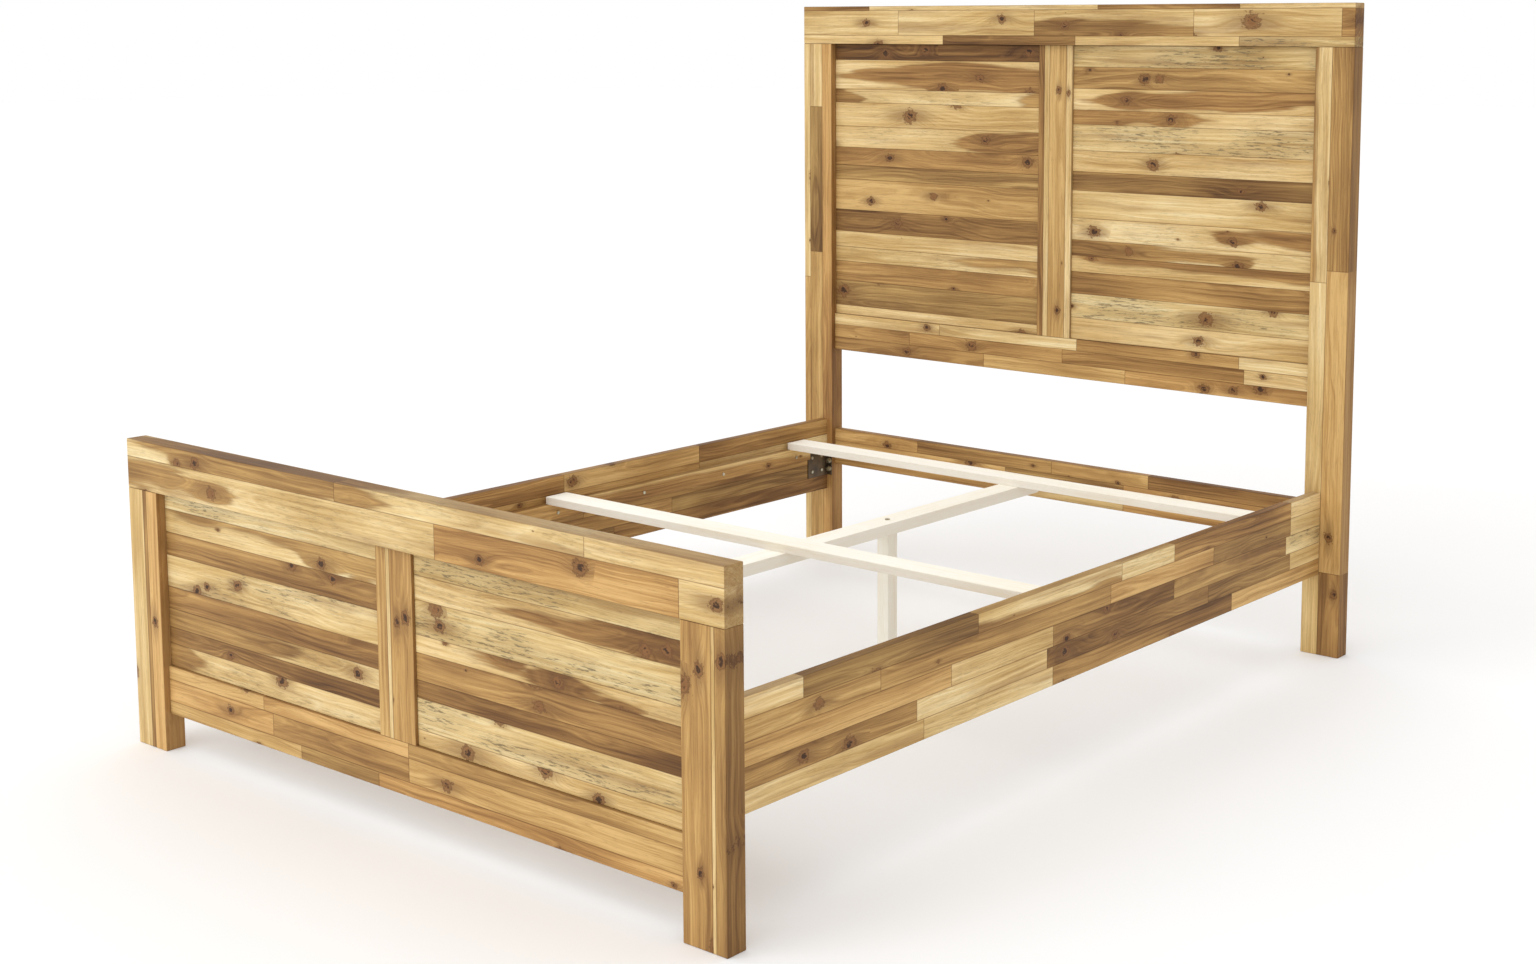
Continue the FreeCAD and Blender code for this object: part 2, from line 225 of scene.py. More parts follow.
class Graph:
    """Short calls for the shader nodes of one material."""

    def __init__(self, name):
        self.material = bpy.data.materials.new(name)
        self.material.use_nodes = True
        self.tree = self.material.node_tree
        self.tree.nodes.clear()

    def node(self, kind, **settings):
        made = self.tree.nodes.new("ShaderNode" + kind)
        for key, value in settings.items():
            setattr(made, key, value)
        return made

    def feed(self, socket, value):
        if isinstance(value, bpy.types.NodeSocket):
            self.tree.links.new(value, socket)
        elif value is not None:
            socket.default_value = value

    def math(self, kind, a, b=None, c=None, clamp=False):
        made = self.node("Math", operation=kind, use_clamp=clamp)
        for socket, value in zip(made.inputs, (a, b, c)):
            self.feed(socket, value)
        return made.outputs[0]

    def add(self, a, b):
        return self.math("ADD", a, b)

    def sub(self, a, b):
        return self.math("SUBTRACT", a, b)

    def mul(self, a, b):
        return self.math("MULTIPLY", a, b)

    def length(self, a, b):
        return self.math("SQRT", self.math("MULTIPLY_ADD", a, a, self.mul(b, b)))

    def smooth(self, value, low, high, out_low=0.0, out_high=1.0):
        made = self.node("MapRange", interpolation_type="SMOOTHSTEP")
        for socket, item in zip(made.inputs, (value, low, high, out_low, out_high)):
            self.feed(socket, item)
        return made.outputs[0]

    def combine(self, x, y, z):
        made = self.node("CombineXYZ")
        for socket, value in zip(made.inputs, (x, y, z)):
            self.feed(socket, value)
        return made.outputs[0]

    def separate(self, vector):
        made = self.node("SeparateXYZ")
        self.feed(made.inputs[0], vector)
        return made.outputs[:3]

    def vector(self, kind, a, b):
        made = self.node("VectorMath", operation=kind)
        self.feed(made.inputs[0], a)
        self.feed(made.inputs[1], b)
        return made.outputs[0]

    def attribute(self, name):
        return self.node("Attribute", attribute_name=name).outputs["Vector"]

    def noise(self, vector, detail=2.0, roughness=0.5, scale=1.0):
        made = self.node("TexNoise")
        self.feed(made.inputs["Vector"], vector)
        made.inputs["Scale"].default_value = scale
        made.inputs["Detail"].default_value = detail
        made.inputs["Roughness"].default_value = roughness
        return made

    def mix(self, share, a, b, kind="MIX"):
        made = self.node("Mix", data_type="RGBA", blend_type=kind)
        self.feed(made.inputs["Factor"], share)
        self.feed(made.inputs[6], a)
        self.feed(made.inputs[7], b)
        return made.outputs[2]

    def ramp(self, share, stops):
        made = self.node("ValToRGB")
        band = made.color_ramp
        while len(band.elements) < len(stops):
            band.elements.new(0.5)
        for element, (place, colour) in zip(band.elements, stops):
            element.position = place
            element.color = colour
        self.feed(made.inputs[0], share)
        return made.outputs[0]

    def shader(self, colour, roughness, height=None, bump=0.0, depth=0.0, **fixed):
        shader = self.node("BsdfPrincipled")
        self.feed(shader.inputs["Base Color"], colour)
        self.feed(shader.inputs["Roughness"], roughness)
        for key, value in fixed.items():
            shader.inputs[key.replace("_", " ")].default_value = value
        if height is not None:
            relief = self.node("Bump")
            relief.inputs["Strength"].default_value = bump
            relief.inputs["Distance"].default_value = depth
            self.feed(relief.inputs["Height"], height)
            self.feed(shader.inputs["Normal"], relief.outputs[0])
        output = self.node("OutputMaterial")
        self.feed(output.inputs[0], shader.outputs[0])
        return self.material


def rgb(red, green, blue):
    """A display colour, 0 to 255, as the linear colour a shader takes."""
    def linear(value):
        value /= 255
        return value / 12.92 if value <= 0.04045 else ((value + 0.055) / 1.055) ** 2.4
    return (linear(red), linear(green), linear(blue), 1.0)


# --- wood --------------------------------------------------------------------
# sap, heart: colours from dark to light. smoke, grey: stains in the sapwood. knot, eye, collar: a
# knot's cracks, its middle and what surrounds it. ring_pitch: growth rings. wander: how far the pith
# strays. knots: share of the places for small knots that stay empty. knot_size: the largest of them.
# heart_gain: how much the tone darkens. seam_and_shade: light left at a glue line, and at a board's edge
# against the next part, where the darkening is painted shade.

ACACIA = dict(
    sap=[(0.0, rgb(160, 122, 70)), (0.3, rgb(198, 163, 104)), (0.6, rgb(224, 194, 138)),
         (0.9, rgb(240, 219, 172))],
    heart=[(0.0, rgb(78, 50, 27)), (0.25, rgb(120, 84, 47)), (0.5, rgb(156, 117, 69)),
           (0.75, rgb(186, 146, 90)), (1.0, rgb(212, 174, 116))],
    smoke=rgb(160, 122, 76),
    grey=rgb(116, 99, 72),
    knot=rgb(52, 33, 21),
    eye=rgb(134, 92, 53),
    collar=rgb(132, 90, 52),
    ring_pitch=7.0 * MM,
    wander=42 * MM,
    knots=0.45,
    knot_size=11 * MM,
    heart_gain=0.62,
    seam_and_shade=0.4,
)
PINE = dict(
    sap=[(0.0, rgb(240, 231, 211)), (0.4, rgb(250, 246, 236)), (1.0, rgb(253, 251, 246))],
    heart=[(0.0, rgb(228, 211, 178)), (0.5, rgb(242, 231, 207)), (1.0, rgb(249, 243, 228))],
    smoke=rgb(244, 235, 215),
    grey=rgb(224, 216, 198),
    knot=rgb(136, 92, 52),
    eye=rgb(178, 130, 80),
    collar=rgb(198, 160, 108),
    ring_pitch=5.0 * MM,
    wander=14 * MM,
    knots=0.92,
    knot_size=4 * MM,
    heart_gain=0.6,
    seam_and_shade=0.8,
)
KNOT_CELLS = 7.0            # places for small knots, per metre
KNOT_SCATTER = 0.7
SMALL_SHADOW_SHARE = 0.42   # a shadow's width as a share of its length along the grain
KNOT_SHADOW_SHARE = 0.3
KNOT_CORE_SHARE = 0.8
SEAM_SHADE_FADE = 1.6 * MM        # a glue line's dark edge and the painted shade at a board's edge start here
SEAM_SHADE_LINE = 0.3 * MM        # and is darkest from here
GRAIN_RELIEF = 0.25 * MM


def wood(name, grain, across, kind):
    """Solid figured wood: rings round a wandering pith, heart and sap, knots, pores, glue lines, and painted
    shade along the boards' edges where they meet other parts.
    """
    g = Graph(name)
    depth = ({X, Y, Z} - {grain, across}).pop()
    place = g.vector("SUBTRACT", g.node("TexCoord").outputs["Object"], g.attribute("mid"))
    axes = g.separate(place)
    u, v, w = axes[grain], axes[across], axes[depth]
    half_u, half_v, seed = g.separate(g.attribute("half"))
    pith_v, pith_w, wander = g.separate(g.attribute("pith"))
    heart_start, heart_middle, heart_end = g.separate(g.attribute("heart"))
    tone, hue, smudge = g.separate(g.attribute("look"))
    knot_u, knot_v, knot_r = g.separate(g.attribute("knot"))

    def figure(along, over, detail=2.0, roughness=0.5, shift=0.0):
        """Noise drawn out along the grain, from 0 to 1."""
        into = g.math("MULTIPLY_ADD", w, over, g.add(seed, shift))
        place = g.combine(g.mul(u, along), g.mul(v, over), into)
        return g.noise(place, detail=detail, roughness=roughness).outputs["Fac"]

    # One listed knot, and small ones scattered in some cells: a round core, a long shadow.
    cells = g.node("TexVoronoi", voronoi_dimensions="2D")
    spot = g.combine(g.math("MULTIPLY_ADD", seed, 1.31, u), g.math("MULTIPLY_ADD", seed, 0.77, v), 0.0)
    g.feed(cells.inputs["Vector"], spot)
    cells.inputs["Scale"].default_value = KNOT_CELLS
    cells.inputs["Randomness"].default_value = KNOT_SCATTER
    lot = g.separate(cells.outputs["Color"])[0]
    small_r = g.math("MAXIMUM", g.smooth(lot, kind["knots"], 1.0, 0.0, kind["knot_size"]), 0.0001)
    far_u, far_v, _ = g.separate(g.vector("SUBTRACT", spot, cells.outputs["Position"]))
    near_u, near_v = g.sub(u, knot_u), g.sub(v, knot_v)
    far = g.math("DIVIDE", g.length(g.mul(far_u, SMALL_SHADOW_SHARE), far_v), small_r)
    near = g.math("DIVIDE", g.length(g.mul(near_u, KNOT_SHADOW_SHARE), near_v), knot_r)
    shadow_gap = g.math("MINIMUM", far, near)
    swell = g.math("MAXIMUM", g.mul(g.math("EXPONENT", g.mul(g.mul(far, far), -0.4)), small_r),
                   g.mul(g.math("EXPONENT", g.mul(g.mul(near, near), -0.3)), knot_r))
    far = g.math("DIVIDE", g.length(g.mul(far_u, KNOT_CORE_SHARE), far_v), small_r)
    near = g.math("DIVIDE", g.length(g.mul(near_u, KNOT_CORE_SHARE), near_v), knot_r)
    ragged = g.math("MULTIPLY_ADD", figure(90.0, 130.0, detail=4.0, roughness=0.7), 2.2, -0.1)
    core_gap = g.mul(g.math("MINIMUM", far, near), ragged)

    # The pith wanders along the board, and the rings ripple and part round the knots.
    drift = g.noise(g.combine(g.mul(u, 1.8), g.mul(seed, 7.3), 0.0), detail=2.0)
    drift_v, drift_w, drift_r = g.separate(drift.outputs["Color"])
    wander = g.mul(wander, kind["wander"])
    at_v = g.sub(g.math("MULTIPLY_ADD", g.sub(drift_v, 0.5), g.mul(wander, 2.0), v), pith_v)
    at_w = g.sub(g.math("MULTIPLY_ADD", g.sub(drift_w, 0.5), wander, w), pith_w)
    ring = g.length(at_v, at_w)
    ring = g.math("MULTIPLY_ADD", g.sub(figure(5.0, 24.0), 0.5), 0.018, ring)
    streaks = figure(2.4, 150.0, detail=3.0, roughness=0.6)
    along = g.math("DIVIDE", u, half_u)
    tilt = g.mul(g.sub(heart_end, heart_start), 0.5)
    bow = g.sub(g.mul(g.add(heart_start, heart_end), 0.5), heart_middle)
    heart_r = g.math("MULTIPLY_ADD", along, g.math("MULTIPLY_ADD", along, bow, tilt), heart_middle)
    inside = g.math("MULTIPLY_ADD", g.sub(drift_r, 0.5), 0.07, g.sub(heart_r, ring))
    inside = g.math("MULTIPLY_ADD", swell, 3.4, inside)
    inside = g.math("MULTIPLY_ADD", g.sub(streaks, 0.5), 0.022, inside)
    heart = g.smooth(inside, -0.004, 0.0035)
    ring = g.math("MULTIPLY_ADD", swell, 1.6, ring)

    # Growth rings, fine lines between them, and colours that drift along the board.
    bands = g.noise(g.combine(g.mul(ring, 1 / kind["ring_pitch"]), g.mul(u, 0.9), seed),
                    detail=3.0, roughness=0.62).outputs["Fac"]
    bands = g.smooth(bands, 0.25, 0.75)
    lines = g.noise(g.combine(g.mul(ring, 3.6 / kind["ring_pitch"]), g.mul(u, 2.5), seed),
                    detail=2.0).outputs["Fac"]
    lines = g.smooth(lines, 0.2, 0.8)
    broad = g.smooth(figure(2.2, 8.0, detail=3.0), 0.25, 0.75)

    # Sapwood, with brown smoke, grey patches and dark specks.
    sap_level = g.math("MULTIPLY_ADD", lines, 0.22, g.math("MULTIPLY_ADD", bands, 0.24,
                       g.math("MULTIPLY_ADD", broad, 0.48, g.mul(g.smooth(streaks, 0.3, 0.7), 0.24))))
    sap = g.ramp(g.sub(sap_level, 0.08), kind["sap"])
    smoke = g.smooth(figure(2.6, 34.0, detail=3.0, roughness=0.55, shift=9.0), 0.5, 0.74, 0.0, 0.62)
    sap = g.mix(smoke, sap, kind["smoke"])
    patch = g.mul(g.smooth(figure(4.0, 14.0, shift=17.0), 0.36, 0.58), smudge)
    sap = g.mix(g.mul(patch, 0.22), sap, kind["grey"])
    specks = g.smooth(figure(30.0, 260.0, detail=3.0, roughness=0.7, shift=3.0), 0.53, 0.62)
    sap = g.mix(g.mul(g.mul(specks, patch), 0.8), sap, kind["grey"])

    # Heartwood, darker with the tone, and a dark rim where the two meet.
    heart_level = g.math("MULTIPLY_ADD", bands, 0.32, g.math("MULTIPLY_ADD", lines, 0.18,
                         g.math("MULTIPLY_ADD", broad, 0.42, g.mul(g.smooth(streaks, 0.3, 0.7), 0.22))))
    heart_level = g.sub(heart_level, g.math("MULTIPLY_ADD", tone, kind["heart_gain"], -0.22))
    heartwood = g.ramp(heart_level, kind["heart"])
    colour = g.mix(heart, sap, heartwood)
    tint = g.mix(hue, (1.04, 0.99, 0.92, 1.0), (0.94, 1.01, 0.98, 1.0))
    colour = g.mix(g.math("MULTIPLY_ADD", heart, 0.6, 0.4), colour,
                   g.mix(1.0, colour, tint, "MULTIPLY"))
    rim = g.math("EXPONENT", g.mul(g.math("POWER", g.mul(inside, 330.0), 2.0), -1.0))
    colour = g.mix(g.mul(rim, 0.22), colour, kind["heart"][1][1])

    # Knots: a long brown shadow, a red-brown collar and a core with dark cracks.
    shade = g.mul(g.smooth(shadow_gap, 2.6, 0.4, 0.0, 0.62), g.smooth(streaks, 0.2, 0.6, 0.45, 1.0))
    colour = g.mix(shade, colour, kind["heart"][1][1])
    colour = g.mix(g.smooth(core_gap, 1.5, 1.1, 0.0, 0.75), colour, kind["collar"])
    halo = g.math("EXPONENT", g.mul(g.math("POWER", g.sub(core_gap, 1.15), 2.0), -40.0))
    colour = g.mix(g.mul(halo, 0.5), colour, kind["heart"][0][1])
    cracks = g.math("MULTIPLY_ADD", figure(9.0, 24.0, shift=29.0), 0.9, figure(120.0, 170.0, shift=23.0))
    core = g.mix(g.smooth(cracks, 0.9, 1.08), kind["knot"], kind["eye"])
    colour = g.mix(g.smooth(core_gap, 0.8, 0.5, 0.0, 0.92), colour, core)

    # Open pores along the grain, and dark lines round each board: glue lines between boards, and painted
    # shade where a board's edge meets the frame or the next part.
    fibres = g.smooth(figure(9.0, 420.0, detail=2.0, roughness=0.6, shift=5.0), 0.5, 0.72)
    colour = g.mix(g.mul(fibres, 0.2), colour, kind["heart"][1][1])
    pores = g.smooth(figure(40.0, 900.0, detail=1.0), 0.60, 0.74)
    colour = g.mix(g.mul(pores, 0.28), colour, kind["heart"][0][1])
    # A thin dark band round each board: a glue line between boards, and painted shade where the board meets
    # the frame.
    side_gap, end_gap = g.sub(half_v, g.math("ABSOLUTE", v)), g.sub(half_u, g.math("ABSOLUTE", u))
    seam_and_shade = g.smooth(g.math("MINIMUM", side_gap, end_gap), SEAM_SHADE_FADE, SEAM_SHADE_LINE, 0.0, 1 - kind["seam_and_shade"])
    colour = g.mix(seam_and_shade, colour, g.mix(1.0, colour, (0.3, 0.2, 0.12, 1.0), "MULTIPLY"))

    height = g.math("MULTIPLY_ADD", bands, 0.4, g.mul(pores, -0.6))
    roughness = g.math("MULTIPLY_ADD", lines, 0.12, 0.52)
    return g.shader(colour, roughness, height, bump=0.3, depth=GRAIN_RELIEF, Specular_IOR_Level=0.22)


# --- other materials ---------------------------------------------------------

def bronze_coat():
    """Dark bronze powder coat with a fine orange-peel surface."""
    g = Graph("bronze_coat")
    place = g.node("TexCoord").outputs["Object"]
    peel = g.noise(place, detail=3.0, scale=900.0).outputs["Fac"]
    cloud = g.noise(place, detail=2.0, scale=35.0).outputs["Fac"]
    colour = g.ramp(cloud, [(0.3, rgb(62, 49, 34)), (0.7, rgb(98, 79, 54))])
    return g.shader(colour, g.math("MULTIPLY_ADD", cloud, 0.2, 0.36), peel, bump=0.25, depth=0.2 * MM,
                    Metallic=0.35)


def zinc():
    """Yellowish zinc plating with light tarnish."""
    g = Graph("zinc")
    place = g.node("TexCoord").outputs["Object"]
    cloud = g.noise(place, detail=4.0, scale=160.0).outputs["Fac"]
    grain = g.noise(place, detail=2.0, scale=1600.0).outputs["Fac"]
    colour = g.ramp(cloud, [(0.3, rgb(150, 142, 118)), (0.7, rgb(206, 200, 178))])
    return g.shader(colour, g.math("MULTIPLY_ADD", cloud, 0.25, 0.22), grain, bump=0.15, depth=0.1 * MM,
                    Metallic=1.0)


def beech():
    """Plain beech dowel stock with its short flecks."""
    g = Graph("beech")
    place = g.separate(g.node("TexCoord").outputs["Object"])
    fleck = g.noise(g.combine(g.mul(place[X], 700.0), g.mul(place[Y], 160.0), g.mul(place[Z], 160.0)))
    colour = g.ramp(fleck.outputs["Fac"], [(0.35, rgb(190, 150, 106)), (0.65, rgb(214, 178, 134))])
    return g.shader(colour, g.math("MULTIPLY_ADD", fleck.outputs["Fac"], 0.2, 0.5))


def nylon():
    """Black moulded nylon of the leg glides."""
    g = Graph("nylon")
    cloud = g.noise(g.node("TexCoord").outputs["Object"], detail=3.0, scale=500.0).outputs["Fac"]
    colour = g.ramp(cloud, [(0.3, rgb(28, 27, 26)), (0.7, rgb(44, 42, 40))])
    return g.shader(colour, g.math("MULTIPLY_ADD", cloud, 0.2, 0.4), cloud, bump=0.15, depth=0.1 * MM)


ACACIA_X = wood("acacia_x", X, Z, ACACIA)
ACACIA_Y = wood("acacia_y", Y, Z, ACACIA)
ACACIA_Z = wood("acacia_z", Z, X, ACACIA)
PINE_X = wood("pine_x", X, Y, PINE)
PINE_Y = wood("pine_y", Y, X, PINE)
PINE_Z = wood("pine_z", Z, X, PINE)


# --- the boards of each piece ------------------------------------------------
# Rows go from top to bottom, or from left to right in posts and stiles. The boards of a row go from
# left to right, from the floor up, or from foot to head.

PANELS = {
    "headboard_left_panel": [
        row(40, stave("dark", 1.0, (0.95, 0.6, 9))), row(74, stave("streak", 1.0, (0.72, 0.45, 8))),
        row(34, "ends"),
        row(60, stave("cream", 1.0, (0.38, 0.5, 14))), row(54, stave("fade_in", 1.0, (0.75, 0.6, 9))),
        row(46, stave("brown", 1.0, (0.28, 0.5, 9))), row(36, "olive"),
        row(78, stave("tan", 1.0, (0.5, 0.6, 8))), row(56, stave("dark", 1.0, (0.32, 0.5, 10))),
        row(40, "cream"), row(38, "wisp"), row(50, "brown"),
        row(64, stave("olive", 1.0, (0.04, 0.6, 13))), row(24, "cream")],
    "headboard_right_panel": [
        row(54, "grey"), row(54, stave("brown", 1.0, (0.37, 0.5, 8))),
        row(54, stave("streak", 1.0, (0.23, 0.5, 9))),
        row(36, stave("fade_out", 1.0, (0.42, 0.5, 9))),
        row(66, "grey"), row(54, "yellow"), row(48, stave("olive", 1.0, (0.71, 0.4, 6))),
        row(70, stave("cream", 1.0, (0.79, 0.8, 9))), row(56, stave("wisp", 1.0, (0.68, 0.4, 9))),
        row(40, stave("fade_out", 1.0, (0.25, 0.5, 8))), row(42, "high"), row(56, "brown"),
        row(62, stave("grey", 1.0, (0.58, 0.45, 13))), row(56, stave("cream", 1.0, (0.55, 0.5, 9)))],
    "footboard_left_panel": [
        row(34, "grey"), row(48, stave("high", 1.0, (0.75, 0.3, 9))),
        row(48, stave("brown", 1.0, (0.8, 0.8, 8))), row(66, stave("grey", 1.0, (0.2, 0.3, 7))),
        row(46, "brown"), row(40, stave("fade_out", 1.0, (0.9, 0.5, 9))), row(34, "dark"), row(48, "ends")],
    "footboard_right_panel": [
        row(44, "grey"), row(46, stave("wisp", 1.0, (0.93, 0.5, 9))),
        row(66, stave("grey", 1.0, (0.1, 0.4, 9))), row(34, stave("streak", 1.0, (0.55, 0.5, 9))),
        row(52, stave("brown", 1.0, (0.48, 0.3, 9))), row(34, "dark"), row(60, "grey"),
        row(32, stave("cream", 1.0, (0.2, 0.5, 11)))],
}
CAPS = {
    "headboard": [
        row(12, stave("brown", 0.14), stave("cream", 0.44), stave("brown", 0.24), stave("yellow", 0.18)),
        row(66, stave("cream", 0.2, (0.67, 0.5, 8)), stave("cream", 0.265, (0.77, 0.65, 8)),
            stave("low", 0.28, (0.2, 0.4, 8)), stave("cream", 0.235, (0.4, 0.55, 15)), stave("brown", 0.02)),
        row(24, stave("cream", 0.29), stave("dark", 0.25), stave("cream", 0.28), stave("grey", 0.18))],
    "footboard": [
        row(36, stave("high", 0.41, (0.35, 0.4, 9)), stave("fade_out", 0.4), stave("yellow", 0.19)),
        row(66, stave("fade_out", 0.58, (0.3, 0.4, 10)), stave("amber", 0.36, (0.2, 0.3, 7)),
            stave("cream", 0.06, (0.82, 0.55, 9)))],
}
BOTTOM_RAILS = {
    "headboard": [
        row(30, stave("cream", 0.25), stave("cream", 0.3), stave("tan", 0.32), stave("cream", 0.13)),
        row(36, stave("brown", 0.18), stave("amber", 0.34), stave("brown", 0.36), stave("yellow", 0.12)),
        row(36, stave("amber", 0.35, (0.5, 0.5, 9)), stave("tan", 0.3), stave("amber", 0.35, (0.6, 0.5, 8)))],
    "footboard": [
        row(28, stave("tan", 0.22), stave("amber", 0.3), stave("tan", 0.48)),
        row(46, stave("amber", 0.24, (0.6, 0.5, 7)), stave("brown", 0.28),
            stave("tan", 0.48, (0.15, 0.4, 9))),
        row(28, stave("tan", 0.3), stave("olive", 0.16), stave("amber", 0.54))],
}
CROSS_RAIL = [
    row(34, stave("amber", 0.2), stave("brown", 0.3), stave("tan", 0.2), stave("brown", 0.3)),
    row(34, stave("tan", 0.4), stave("olive", 0.25), stave("amber", 0.35, (0.3, 0.5, 8))),
    row(34, stave("brown", 0.4), stave("cream", 0.25), stave("amber", 0.35))]
POSTS = {
    "footboard_left": [row(50, "cream"), row(12, "brown"), row(38, stave("amber", 1.0, (0.5, 0.4, 7)))],
    "footboard_right": [row(68, stave("amber", 1.0, (0.86, 0.6, 8))), row(8, "cream"),
                        row(24, stave("brown", 1.0, (0.9, 0.6, 9)))],
    "headboard_left": [
        row(22, stave("cream", 0.2), stave("tan", 0.35), stave("cream", 0.45)),
        row(44, stave("tan", 0.6), stave("olive", 0.28), stave("cream", 0.12)),
        row(34, "amber")],
    "headboard_right": [
        row(44, stave("cream", 0.62), stave("low", 0.38)),
        row(56, stave("brown", 0.14), stave("tan", 0.5, (0.12, 0.4, 8)), stave("brown", 0.36))],
}
STILES = {
    "footboard": [row(30, "tan"), row(10, "cream"), row(64, stave("amber", 1.0, (0.62, 0.3, 7)))],
    "headboard": [row(18, "brown"), row(16, "cream"), row(52, "tan"), row(18, "yellow")],
}
SIDE_RAILS = {
    "left": [
        row(44, stave("tan", 0.22), stave("amber", 0.3), stave("tan", 0.23), stave("brown", 0.25)),
        row(40, stave("cream", 0.35), stave("tan", 0.4), stave("yellow", 0.25)),
        row(36, stave("brown", 0.55), stave("amber", 0.45)),
        row(40, stave("tan", 0.3), stave("brown", 0.4), stave("olive", 0.3)),
        row(40, stave("cream", 0.2), stave("olive", 0.4), stave("dark", 0.4))],
    "right": [
        row(38, stave("yellow", 0.1), stave("olive", 0.24), stave("low", 0.24), stave("yellow", 0.1),
            stave("brown", 0.25), stave("yellow", 0.07)),
        row(40, stave("tan", 0.2, (0.6, 0.5, 8)), stave("brown", 0.36), stave("amber", 0.2),
            stave("olive", 0.17), stave("cream", 0.07)),
        row(42, stave("amber", 0.3), stave("yellow", 0.16), stave("dark", 0.22), stave("brown", 0.24),
            stave("grey", 0.08)),
        row(40, stave("brown", 0.25, (0.4, 0.5, 9)), stave("cream", 0.2), stave("dark", 0.3, (0.1, 0.5, 9)),
            stave("olive", 0.18), stave("cream", 0.07)),
        row(40, stave("cream", 0.26), stave("yellow", 0.2), stave("brown", 0.34), stave("tan", 0.2))],
}


def between(node, axis, low_node, high_node):
    """A node's box, trimmed along one axis to the gap between two other nodes."""
    low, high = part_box(node)
    low[axis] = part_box(low_node)[1][axis]
    high[axis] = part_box(high_node)[0][axis]
    return low, high


def framed_board(prefix):
    """The footboard or the headboard: two posts, a cap, a bottom rail, a stile and two panels."""
    left, right = f"{prefix}_left_post", f"{prefix}_right_post"
    cap, rail, stile = f"{prefix}_cap_rail", f"{prefix}_bottom_rail", f"{prefix}_centre_stile"
    for side in ("left", "right"):
        node = f"{prefix}_{side}_post"
        glued(f"{prefix}_{side}_post_wood", *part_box(node), Z, X, POSTS[f"{prefix}_{side}"],
              node, "frame", ACACIA_Z, "acacia_post", {X, Y, Z})
    glued(f"{prefix}_cap_wood", *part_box(cap), X, Z, CAPS[prefix], cap, "frame", ACACIA_X,
          "acacia_rail", {X, Y, Z})
    low, high = between(rail, X, left, right)
    glued(f"{prefix}_bottom_rail_wood", low, high, X, Z, BOTTOM_RAILS[prefix], rail, "frame",
          ACACIA_X, "acacia_rail")
    stile_low, stile_high = between(stile, Z, rail, cap)
    glued(f"{prefix}_stile_wood", stile_low, stile_high, Z, X, STILES[prefix], stile, "frame",
          ACACIA_Z, "acacia_rail")
    for side, low_x, high_x in (("left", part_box(left)[1].x, stile_low.x),
                                ("right", stile_high.x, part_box(right)[0].x)):
        node = f"{prefix}_{side}_panel"
        low, high = between(node, Z, rail, cap)
        low.x, high.x = low_x, high_x
        glued(f"{prefix}_{side}_panel_wood", low, high, X, Z, PANELS[node], node, "frame",
              ACACIA_X, "acacia_panel")


def bed_pieces():
    """All the wood of the bed."""
    for prefix in ("footboard", "headboard"):
        framed_board(prefix)
    cross = "headboard_lower_cross_rail"
    low, high = between(cross, X, "headboard_left_post", "headboard_right_post")
    glued("cross_rail_wood", low, high, X, Z, CROSS_RAIL, cross, "frame", ACACIA_X, "acacia_rail")
    for side in ("left", "right"):
        rail, ledger = f"{side}_side_rail", f"{side}_ledger_strip"
        glued(f"{side}_rail_wood", *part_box(rail), Y, Z, SIDE_RAILS[side], rail, "frame", ACACIA_Y,
              "acacia_side")
        glued(f"{side}_ledger_wood", *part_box(ledger), Y, Z, [row(1, "honey")], ledger, "frame",
              ACACIA_Y, "ledger_wood", {X, Y, Z})
    for node in ("slat_foot", "slat_middle", "slat_head"):
        glued(f"{node}_wood", *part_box(node), X, Y, [row(1, "cream")], node, node, PINE_X, "pine",
              {X, Y, Z})
    glued("beam_wood", *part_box("centre_beam"), Y, X, [row(1, "cream")], "centre_beam", "frame",
          PINE_Y, "pine", {X, Y, Z})
    for node in ("foot_support_leg", "head_support_leg"):
        glued(f"{node}_wood", *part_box(node), Z, X, [row(1, "cream")], node, "frame", PINE_Z, "pine",
              {X, Y, Z})


def dress_cad_nodes():
    """The fittings keep their CAD shapes and get their own materials."""
    looks = {"bracket_steel": bronze_coat(), "zinc_steel": zinc(), "dowel_beech": beech(),
             "glide_plastic": nylon()}
    for part in frame["record"]["subparts"]:
        if part["material_slot"] in looks:
            node = frame["nodes"][part["node"]]
            node.data.materials.clear()
            node.data.materials.append(looks[part["material_slot"]])


# --- stage -------------------------------------------------------------------

CAMERA_PLACE = Vector((3.083, -3.414, 1.471))
CAMERA_YAW = 0.6613         # from +Y towards -X
CAMERA_PITCH = -0.1244
CAMERA_ROLL = 0.0037
CAMERA_LENS = 49.31
CAMERA_SENSOR = 36.0
CAMERA_SHIFT = (-0.1091, -0.1185)
FLOOR_REACH = 40.0
STUDIO_STRENGTH = 1.0
SKY_STRENGTH = 0.55
SKY_SPREAD = math.radians(70)
SKY_TURN = (math.radians(34), 0.0, math.radians(-22))
FRONT_PLACE = (-1.6, -5.0, 2.4)
FRONT_TARGET = (0.0, 0.0, 0.6)
FRONT_SIZE = 2.4
FRONT_POWER = 34.0


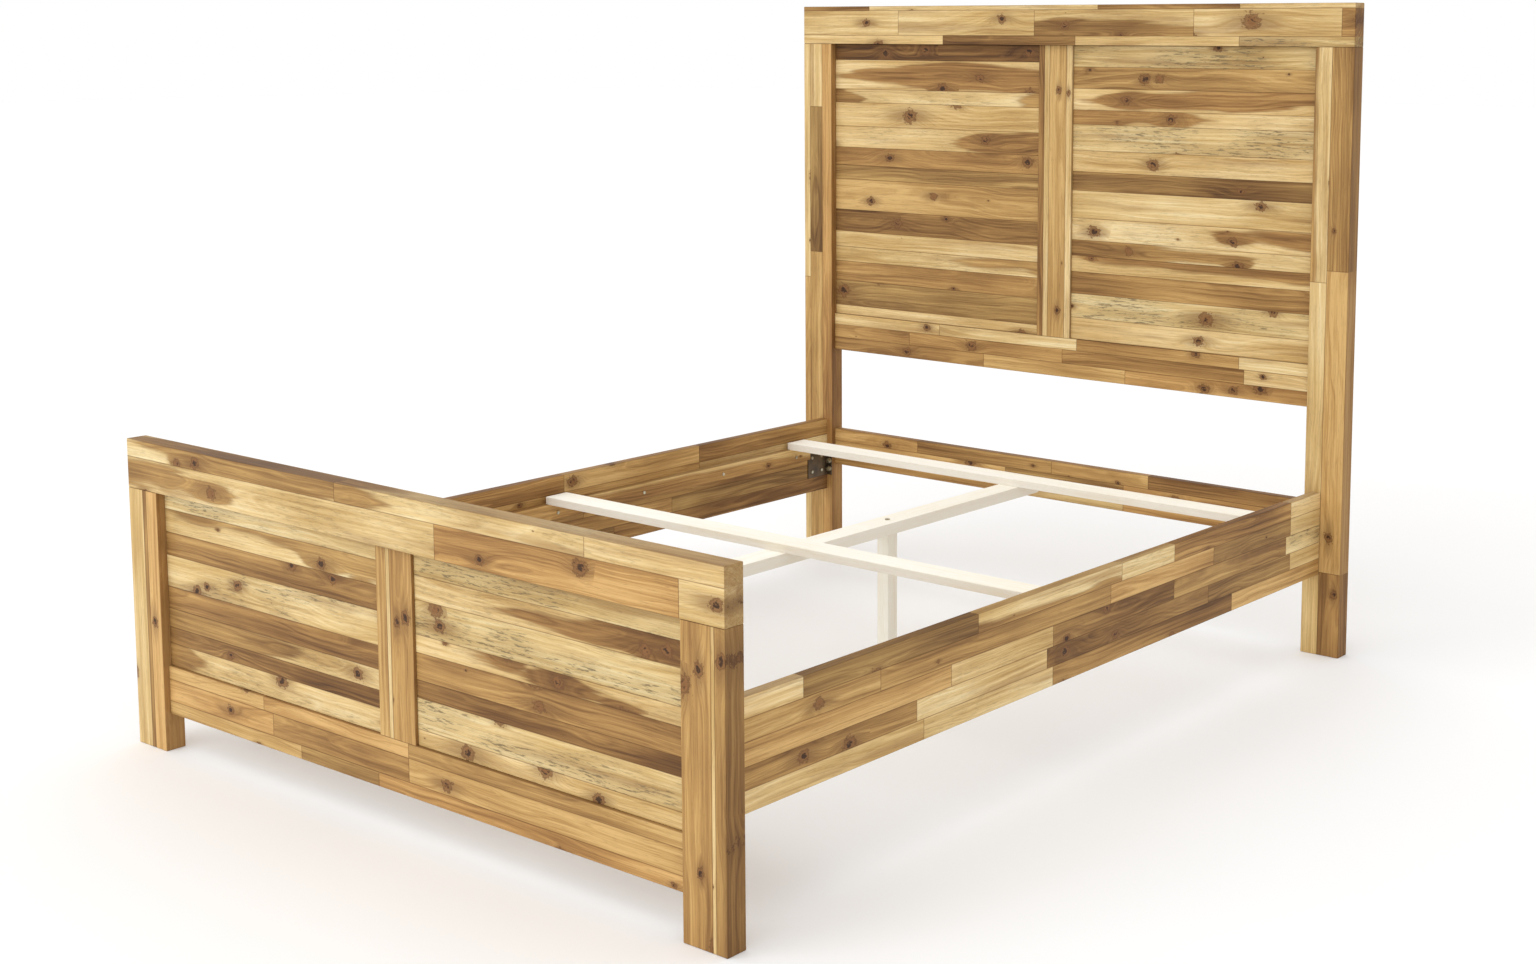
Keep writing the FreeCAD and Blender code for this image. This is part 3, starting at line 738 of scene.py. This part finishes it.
def camera():
    """The camera at the photo's angle. Its shift stands for the photo's off-centre crop."""
    data = bpy.data.cameras.new("camera")
    data.lens = CAMERA_LENS
    data.sensor_width = CAMERA_SENSOR
    data.shift_x, data.shift_y = CAMERA_SHIFT
    forward = Vector((-math.sin(CAMERA_YAW) * math.cos(CAMERA_PITCH),
                      math.cos(CAMERA_YAW) * math.cos(CAMERA_PITCH), math.sin(CAMERA_PITCH)))
    right = Vector((math.cos(CAMERA_YAW), math.sin(CAMERA_YAW), 0.0))
    up = right.cross(forward)
    turned_right = right * math.cos(CAMERA_ROLL) + up * math.sin(CAMERA_ROLL)
    turned_up = up * math.cos(CAMERA_ROLL) - right * math.sin(CAMERA_ROLL)
    rotation = Matrix((turned_right, turned_up, -forward)).transposed()
    made = bpy.data.objects.new("camera", data)
    made.matrix_world = Matrix.Translation(CAMERA_PLACE) @ rotation.to_4x4()
    bpy.context.scene.collection.objects.link(made)
    bpy.context.scene.camera = made


def softbox(name, place, target, size, power):
    """A large square area light that looks at a point."""
    data = bpy.data.lights.new(name, "AREA")
    data.shape = "SQUARE"
    data.size = size
    data.energy = power
    made = bpy.data.objects.new(name, data)
    toward = Vector(target) - Vector(place)
    turn = toward.to_track_quat("-Z", "Y").to_matrix().to_4x4()
    made.matrix_world = Matrix.Translation(place) @ turn
    bpy.context.scene.collection.objects.link(made)


def stage():
    """A pale floor under a white sky, with a soft wash from above and a softbox in front."""
    g = Graph("floor")
    cloud = g.noise(g.node("TexCoord").outputs["Object"], detail=2.0, scale=0.8).outputs["Fac"]
    pale = g.ramp(cloud, [(0.3, (0.90, 0.90, 0.90, 1.0)), (0.7, (0.92, 0.92, 0.92, 1.0))])
    material = g.shader(pale, g.math("MULTIPLY_ADD", cloud, 0.1, 0.75))
    reach = FLOOR_REACH
    corners = [(-reach, -reach, 0), (reach, -reach, 0), (reach, reach, 0), (-reach, reach, 0)]
    mesh = bpy.data.meshes.new("floor")
    mesh.from_pydata(corners, [], [(0, 1, 2, 3)])
    mesh.materials.append(material)
    floor = bpy.data.objects.new("floor", mesh)
    bpy.context.scene.collection.objects.link(floor)

    world = bpy.data.worlds.new("studio")
    world.use_nodes = True
    background = world.node_tree.nodes["Background"]
    background.inputs["Color"].default_value = (1.0, 1.0, 1.0, 1.0)
    background.inputs["Strength"].default_value = STUDIO_STRENGTH
    bpy.context.scene.world = world
    sky = bpy.data.lights.new("sky_wash", "SUN")
    sky.energy = SKY_STRENGTH
    sky.angle = SKY_SPREAD
    wash = bpy.data.objects.new("sky_wash", sky)
    wash.rotation_euler = SKY_TURN
    bpy.context.scene.collection.objects.link(wash)
    softbox("front", FRONT_PLACE, FRONT_TARGET, FRONT_SIZE, FRONT_POWER)
    bpy.context.scene.view_settings.view_transform = "Standard"
    bpy.context.scene.view_settings.look = "None"


camera()
bed_pieces()
dress_cad_nodes()
stage()
